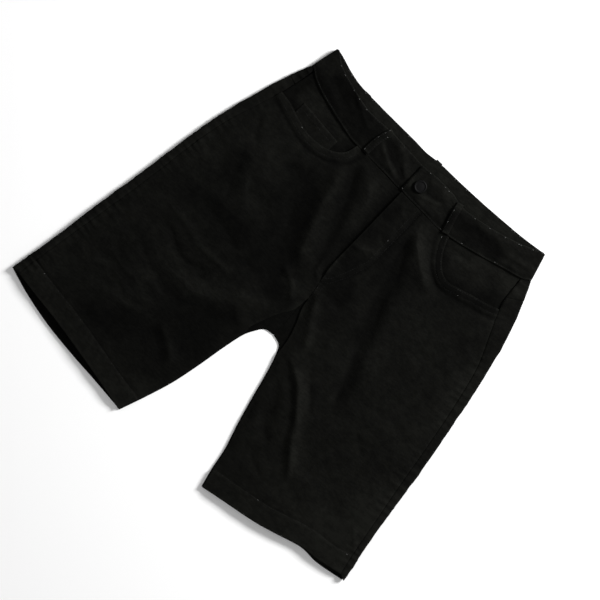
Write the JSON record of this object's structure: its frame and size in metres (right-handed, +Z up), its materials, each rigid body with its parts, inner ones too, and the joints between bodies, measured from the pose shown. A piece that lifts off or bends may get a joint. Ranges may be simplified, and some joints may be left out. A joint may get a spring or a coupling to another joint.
{
  "type": "denim bermuda shorts",
  "caption": "Black denim bermuda shorts laid flat with the front up: scooped front pockets, zip fly, belt-looped waistband and straight stitched hems.",
  "frame": {"origin": "centre of the bounding box in plan, on the table plane under the back of the shorts", "axes": "+X towards the wearer's left, +Y from the hems to the waist, +Z up out of the front"},
  "size_m": [0.592, 0.534, 0.0137],
  "materials": {
    "denim": "black-dyed cotton twill, matt, a little worn along the seams",
    "pocket_cloth": "plain black cotton pocketing",
    "zip_tape": "black woven zip tape",
    "button_metal": "blackened metal jeans button"
  },
  "bodies": {
    "root": {"back_panel_right": "denim", "back_panel_left": "denim", "back_yoke_right": "denim", "back_yoke_left": "denim", "front_panel_right": "denim", "front_panel_left": "denim", "pocket_facing_right": "denim", "pocket_facing_left": "denim", "coin_pocket": "denim", "pocket_bag_right": "pocket_cloth", "pocket_bag_left": "pocket_cloth", "fly_shield": "denim", "fly_facing": "denim", "fly_zip": "zip_tape", "waistband": "denim", "belt_loop_front_right": "denim", "belt_loop_front_left": "denim", "belt_loop_back_right": "denim", "belt_loop_centre_back": "denim", "belt_loop_back_left": "denim", "waistband_button": "button_metal"}
  },
  "joints": []
}
